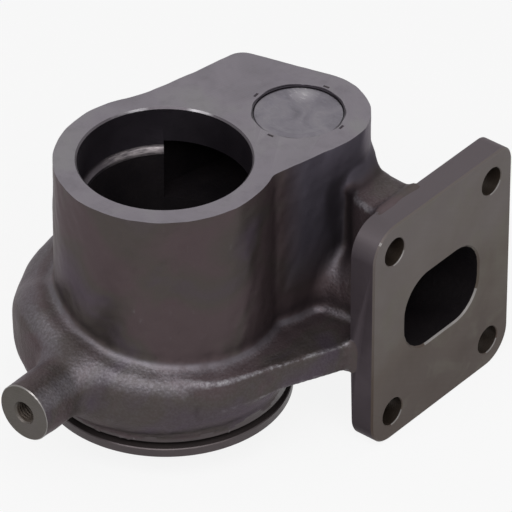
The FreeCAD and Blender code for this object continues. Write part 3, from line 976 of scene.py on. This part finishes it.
def cast_skin(name):
    """Dark cast iron with a smooth wall, a pebbly skin on the scroll and brighter, rubbed edges, with painted
    light: a lighter side, a highlight on the shoulder and shade in the hollows.
    """
    material, tree = new_material(name, 0.6, skin_specular, skin_tint)
    place = place_of(tree)
    coarse, edge, crease, hollow, bead = [
        node(tree, "ShaderNodeAttribute", output="Fac", attribute_name=name) for name in skin_names]
    normal = node(tree, "ShaderNodeNewGeometry", output="Normal")

    # Soft patches of tone, and painted light: a lighter, cooler tone on the upper side of the chamber's wall
    # that faces along +X
    colour = ramp(noise(place, 26.0, 3.0, 0.5, 0.6), (
        (0.3, (0.074, 0.053, 0.057)), (0.45, (0.078, 0.057, 0.06)), (0.56, (0.069, 0.058, 0.054)),
        (0.7, (0.072, 0.056, 0.07))))
    above = axis_of(place, "Z") * (1.0 / (25.0 * MM)) - 2.2
    on_arm = axis_of(place, "Y") * (1.0 / (12.0 * MM)) - 2.1
    upper = limited(maths("MINIMUM", above, on_arm), 0.0, 1.0)
    painted_light_side = ramp(axis_of(normal, "X"), ((0.25, 0.0), (0.7, 1.0)))
    colour = blend(painted_light_side * upper, colour, (0.098, 0.088, 0.112))

    # Painted highlight: a brighter tone on faces that look up and out, on the coarse skin and most on the
    # bead, and sandy grains that are brighter on those faces too
    shoulder = ramp(axis_of(normal, "Z"), ((0.3, 0.0), (0.55, 1.0), (0.84, 1.0), (0.96, 0.0)))
    patchy = noise(place, 150.0, 4.0, 0.65) * 1.1
    painted_shoulder_highlight = shoulder * maths("MAXIMUM", coarse * 0.4, bead * patchy)
    colour = blend(painted_shoulder_highlight, colour, (0.125, 0.117, 0.134))
    speckle = ramp(noise(place, 800.0, 3.0, 0.6), ((0.4, 0.0), (0.68, 1.0)))
    colour = blend(speckle * coarse * (shoulder * 0.24 + 0.12), colour, (0.19, 0.18, 0.2))

    # Rubbed edges, darker creases, and painted shade in hollows and at the riser's root, kept off the bead's
    # painted highlight
    rubbed = ramp(noise(place, 420.0, 4.0, 0.7), ((0.42, 0.0), (0.62, 1.0)))
    colour = blend(rubbed * edge * 0.75, colour, (0.28, 0.27, 0.285))
    dark_crease_and_hollow_shade = maths("MAXIMUM", crease * 0.35, hollow * (coarse * -0.35 + 0.85))
    colour = blend(dark_crease_and_hollow_shade * (1.0 - bead * shoulder), colour, (0.014, 0.011, 0.013))

    smears = noise(place_of(tree, (1.0, 1.0, 0.22)), 90.0, 3.0, 0.6)
    roughness = smears * 0.2 + coarse * 0.06 + hollow * 0.22 + 0.29
    pebble = node(tree, "ShaderNodeTexVoronoi", {"Vector": place, "Scale": 760.0, "Smoothness": 0.6},
                  feature="SMOOTH_F1")
    grain = noise(place, 1500.0, 4.0, 0.65)
    height = grain * (coarse * 0.55 + 0.14) + pebble * coarse
    return surfaced(material, colour, roughness, bump(height, 0.17, 0.85))


def machined(name, tones, metallic, rough, rings, direction, line_scale, line_depth):
    """A cut face: soft patches of tone, and fine tool marks along rings or bands."""
    material, tree = new_material(name, metallic)
    place = place_of(tree)
    stops = [(0.3 + 0.4 * i / (len(tones) - 1), tone) for i, tone in enumerate(tones)]
    stain = ramp(noise(place, 160.0, 4.0, 0.65), ((0.5, 0.0), (0.8, 1.0)))
    dark = tuple(0.6 * value for value in tones[0])
    colour = blend(stain * 0.35, ramp(noise(place, 32.0, 4.0, 0.55, 0.8), stops), dark)
    settings = {"wave_type": "RINGS", "rings_direction": direction} if rings else {
        "wave_type": "BANDS", "bands_direction": direction}
    marks = node(tree, "ShaderNodeTexWave", {
        "Vector": place, "Scale": line_scale, "Distortion": 1.2, "Detail": 2.0, "Detail Scale": 0.6},
        output="Fac", **settings)
    roughness = noise(place, 70.0, 3.0, 0.6) * 0.24 + (rough - 0.12)
    height = noise(place, 1100.0, 3.0, 0.6) * 0.8 + marks
    return surfaced(material, colour, roughness, bump(height, line_depth))


def milled_face(name):
    """The inlet flange's face: grey above, and browner and darker below, the darkening partly painted shade,
    with cloudy heat stains and mill marks.
    """
    material, tree = new_material(name, 0.6)
    place = place_of(tree)
    # Browner towards the bottom, and darker there as painted shade
    up = axis_of(place, "Z") * (1.0 / (flange_height * MM)) + 0.13
    cloudy = noise(place, 17.0, 3.0, 0.5, 0.9) * 0.9 - 0.45
    colour = ramp(up + cloudy, (
        (0.1, (0.058, 0.04, 0.032)), (0.38, (0.074, 0.055, 0.044)), (0.6, (0.096, 0.078, 0.069)),
        (0.85, (0.11, 0.092, 0.088))))
    olive = ramp(noise(place, 30.0, 3.0, 0.55, 1.4), ((0.52, 0.0), (0.7, 1.0)))
    colour = blend(olive * 0.5, colour, (0.1, 0.09, 0.068))
    marks = node(tree, "ShaderNodeTexWave", {
        "Vector": place_of(tree, (1.0, 0.55, 1.0)), "Scale": 190.0, "Distortion": 1.5, "Detail": 2.0},
        output="Fac", wave_type="BANDS", bands_direction="DIAGONAL")
    roughness = noise(place, 55.0, 4.0, 0.6) * 0.26 + 0.3
    height = noise(place, 1100.0, 3.0, 0.6) * 0.9 + marks
    return surfaced(material, colour, roughness, bump(height, 0.012))


def flange_side(name):
    """The flange's narrow sides: lighter where they face up, as painted light, and darker lower down."""
    material, tree = new_material(name, 0.6, skin_specular, skin_tint)
    place = place_of(tree)
    # Painted light: the sides get lighter the more they face up
    level = axis_of(node(tree, "ShaderNodeNewGeometry", output="Normal"), "Z")
    colour = ramp(level + noise(place, 45.0, 3.0, 0.55) * 0.3, (
        (0.0, (0.03, 0.024, 0.028)), (0.15, (0.066, 0.053, 0.061)), (0.45, (0.078, 0.065, 0.073)),
        (0.9, (0.104, 0.089, 0.096))))
    # Darker towards the bottom
    low = axis_of(place, "Z") * (-1.0 / (40.0 * MM)) + 0.55
    colour = blend(limited(low, 0.0, 0.76), colour, (0.024, 0.018, 0.021))
    roughness = noise(place, 120.0, 4.0, 0.6) * 0.24 + 0.3
    lines = noise(place_of(tree, (0.12, 1.0, 1.0)), 900.0, 3.0, 0.6)
    return surfaced(material, colour, roughness, bump(lines, 0.04))


def inner_cast(name):
    """The passages' rough, sooty walls, near black, partly as painted shade for the shade deep inside them.
    """
    material, tree = new_material(name, 0.0, 0.1)
    place = place_of(tree)
    colour = ramp(noise(place, 60.0, 4.0, 0.6), ((0.3, (0.004, 0.003, 0.004)), (0.7, (0.009, 0.007, 0.008))))
    roughness = noise(place, 200.0) * 0.2 + 0.6
    return surfaced(material, colour, roughness, bump(noise(place, 500.0, 4.0, 0.6), 0.5))


def cut_with_painted_highlight(name, tone, bright, spans_deg, across):
    """A dark turned edge with a painted highlight in streaks, over spans of angle round the axis where it
    catches the light.
    """
    material, tree = new_material(name, 0.75)
    place = place_of(tree)
    angle = maths("ARCTAN2", axis_of(place, "Y"), axis_of(place, "X"))
    highlight_span = 0.0
    for middle, half in spans_deg:
        off = maths("ABSOLUTE", angle - math.radians(middle))
        highlight_span = maths("MAXIMUM", highlight_span, off * (-1.0 / math.radians(half)) + 1.0)
    uneven = noise(place_of(tree, (0.35, 1.0, 9.0)), across, 4.0, 0.6)
    mask = ramp(highlight_span, ((0.0, 0.0), (0.5, 1.0))) * ramp(uneven, ((0.36, 0.12), (0.6, 1.0)))
    roughness = noise(place, 240.0) * 0.24 + 0.3
    return surfaced(material, blend(mask, tone, bright), roughness, bump(noise(place, 900.0, 3.0, 0.6), 0.03))


def plug_steel(centre, bright):
    """The pressed plug: dull steel, blotched by punch and heat, with painted shade at its edge and one
    painted highlight.
    """
    material, tree = new_material("plug_steel", 0.55)
    place = place_of(tree)
    across, along = axis_of(place, "X") - centre[0], axis_of(place, "Y") - centre[1]
    out = maths("SQRT", across * across + along * along)
    # Painted shade: a dark, wobbly ring at the plug's edge, for the shade in the gap round it
    wobble = noise(place, 130.0, 3.0, 0.6) * (1.6 * MM) - 0.8 * MM
    painted_edge_shade = ramp((out + wobble) * (1.0 / MM) - (plug_r - 1.0), ((0.2, 0.0), (0.75, 1.0)))
    colour = ramp(noise(place, 60.0, 4.0, 0.6, 1.2), (
        (0.32, (0.125, 0.115, 0.135)), (0.5, (0.165, 0.152, 0.178)), (0.7, (0.205, 0.19, 0.21))))
    scratches = noise(place_of(tree, (1.0, 3.5, 1.0)), 240.0, 5.0, 0.7)
    scuffs = ramp(scratches, ((0.52, 0.0), (0.75, 1.0)))
    colour = blend(scuffs * 0.4, colour, (0.26, 0.25, 0.27))
    # Painted highlight: a bright place on the plug's far side, broken up by the scuffs
    away = node(tree, "ShaderNodeVectorMath", {0: place, 1: tuple(bright)}, output="Value",
                operation="DISTANCE")
    reach = 8.0 * MM
    spot = maths("MAXIMUM", away * (-1.0 / reach) + 1.0, 0.0)
    colour = blend(maths("MINIMUM", spot * (scuffs + 0.3) * 1.8, 1.0), colour, (0.45, 0.43, 0.45))
    colour = blend(painted_edge_shade * 0.85, colour, (0.035, 0.028, 0.034))
    roughness = noise(place, 110.0, 4.0, 0.6) * 0.3 + 0.24
    height = noise(place, 1300.0, 3.0, 0.6) * 0.25 + noise(place, 75.0)
    return surfaced(material, colour, roughness, bump(height, 0.25, 0.9))


# Each finish in the order of the mesh's slots, with what makes it and its values. A cut face has its tones,
# metallic share, roughness, whether its tool marks are rings, their direction, and their scale and depth in
# millimetres. An edge with a painted highlight has its tone, its highlight's tone, spans as middle and half
# width in degrees, and the scale of its streaks.
finishes = {
    "cast_skin": (cast_skin,),
    "ground_face": (
        machined, ((0.165, 0.15, 0.17), (0.19, 0.172, 0.195), (0.2, 0.19, 0.2)),
        0.75, 0.4, True, "Z", 260.0, 0.012),
    # The bore, the seat and the plug's hole: a very dark turned tone, painted shade for the shade inside them
    "turned_bore": (
        machined, ((0.032, 0.027, 0.035), (0.042, 0.035, 0.044)), 0.7, 0.36, False, "Z", 420.0, 0.03),
    "turned_ring": (
        machined, ((0.062, 0.05, 0.053), (0.076, 0.062, 0.064)), 0.6, 0.4, False, "Z", 300.0, 0.03),
    "milled_face": (milled_face,),
    "drilled_hole": (
        machined, ((0.026, 0.018, 0.013), (0.04, 0.028, 0.02)), 0.5, 0.5, False, "X", 300.0, 0.04),
    "faced_boss": (
        machined, ((0.078, 0.07, 0.058), (0.09, 0.078, 0.072)), 0.6, 0.42, True, "Y", 260.0, 0.02),
    "inner_cast": (inner_cast,),
    "worn_ledge": (
        cut_with_painted_highlight, (0.045, 0.038, 0.044), (0.19, 0.17, 0.175), ((150.0, 30.0),), 260.0),
    "worn_mouth": (
        cut_with_painted_highlight, (0.075, 0.066, 0.075), (0.28, 0.27, 0.285), ((154.0, 14.0), (106.0, 10.0)), 120.0),
    # The clamp ring's groove and the rim's top: near black, painted shade under the shoulder
    "ring_groove": (
        machined, ((0.018, 0.013, 0.013), (0.026, 0.019, 0.019)), 0.3, 0.6, False, "Z", 300.0, 0.03),
    # Bright chamfers: a painted highlight on the flange face's up-facing chamfers, and the boss's chamfer
    # bright all round
    "rubbed_edge": (
        machined, ((0.17, 0.16, 0.155), (0.27, 0.255, 0.25)), 0.85, 0.34, True, "Y", 260.0, 0.02),
    "flange_side": (flange_side,)}


def camera():
    """The photograph's view: far away, with a long lens."""
    data = bpy.data.cameras.new("camera")
    data.sensor_width = 36.0
    focal_pixels, picture_pixels = 6357.71, 512.0
    data.lens = focal_pixels / picture_pixels * data.sensor_width
    data.clip_end = 50.0
    holder = add_object("camera", data)
    aim(holder, Vector((1491.8, -1748.0, 1744.22)) * MM, Vector((100.07, -57.92, 148.23)) * MM)
    bpy.context.scene.camera = holder


def seen_share(tree):
    """1 for rays of the camera, of mirror reflection and of glass, and 0 for light that falls on things."""
    camera_ray, glossy_ray, glass_ray = [
        node(tree, "ShaderNodeLightPath", output=name)
        for name in ("Is Camera Ray", "Is Glossy Ray", "Is Transmission Ray")]
    return maths("MAXIMUM", maths("MAXIMUM", camera_ray, glossy_ray), glass_ray)


def floor():
    """A pale floor that keeps the object's shadow and is nearly white to the eye."""
    side = 6.0
    white_share = 0.88
    low = cad_low[2]
    corners = [(-side, -side, low), (side, -side, low), (side, side, low), (-side, side, low)]
    mesh = bpy.data.meshes.new("floor")
    mesh.from_pydata(corners, [], [(0, 1, 2, 3)])
    plane = add_object("floor", mesh)
    material, tree = new_material("floor", 0.0)
    shader = shader_of(material)
    shader.inputs["Base Color"].default_value = (0.66, 0.66, 0.66, 1.0)
    shader.inputs["Roughness"].default_value = 0.8
    glow = node(tree, "ShaderNodeEmission", {"Color": (1.0, 1.0, 1.0, 1.0), "Strength": 1.0})
    share = seen_share(tree) * white_share
    mixed = node(tree, "ShaderNodeMixShader", {0: share, 1: Value(shader.outputs[0]), 2: glow})
    put(mixed, tree.nodes["Material Output"].inputs["Surface"])
    mesh.materials.append(material)


def world():
    """Even light all round, and a white background."""
    added = bpy.data.worlds.new("studio")
    added.use_nodes = True
    tree = added.node_tree
    background = tree.nodes["Background"]
    background.inputs["Color"].default_value = (1.0, 1.0, 1.0, 1.0)
    ambient = 0.22
    put(seen_share(tree) * (1.0 - ambient) + ambient, background.inputs["Strength"])
    bpy.context.scene.world = added


def lamp(name, azimuth_deg, elevation_deg, distance, power, width, height):
    """A soft light that looks at the object. Lengths are in metres and the power is in watts."""
    middle = Vector((0.02, 0.02, 0.05))
    level = math.radians(elevation_deg)
    flat = polar(math.cos(level), azimuth_deg)
    data = bpy.data.lights.new(name, "AREA")
    data.energy = power
    data.shape = "RECTANGLE"
    data.size = width
    data.size_y = height
    aim(add_object(name, data), middle + distance * Vector((*flat, math.sin(level))), middle)


bpy.context.scene.view_settings.view_transform = "Standard"
body = housing()
body.data.materials.clear()
for finish_name, (make_finish, *values) in finishes.items():
    body.data.materials.append(make_finish(finish_name, *values))
surface_kinds(body)
skin_values(body)
smooth(body)
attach(body, "root")
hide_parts("turbine_housing")
plug = frame["nodes"]["blanking_plug"]
plug.data.materials.clear()
inside = plug.matrix_world.inverted()
plug_middle = inside @ Vector((plug_x * MM, plug_y * MM, column_height * MM))
# Where the plug's painted highlight sits
plug_bright = inside @ (Vector((14.4, 80.1, 122.0)) * MM)
plug.data.materials.append(plug_steel(plug_middle, plug_bright))
floor()
world()
lamp("key", -60.0, 52.0, 1.5, 18.0, 2.0, 0.75)
lamp("fill", 75.0, 45.0, 1.7, 2.5, 0.8, 0.8)
camera()
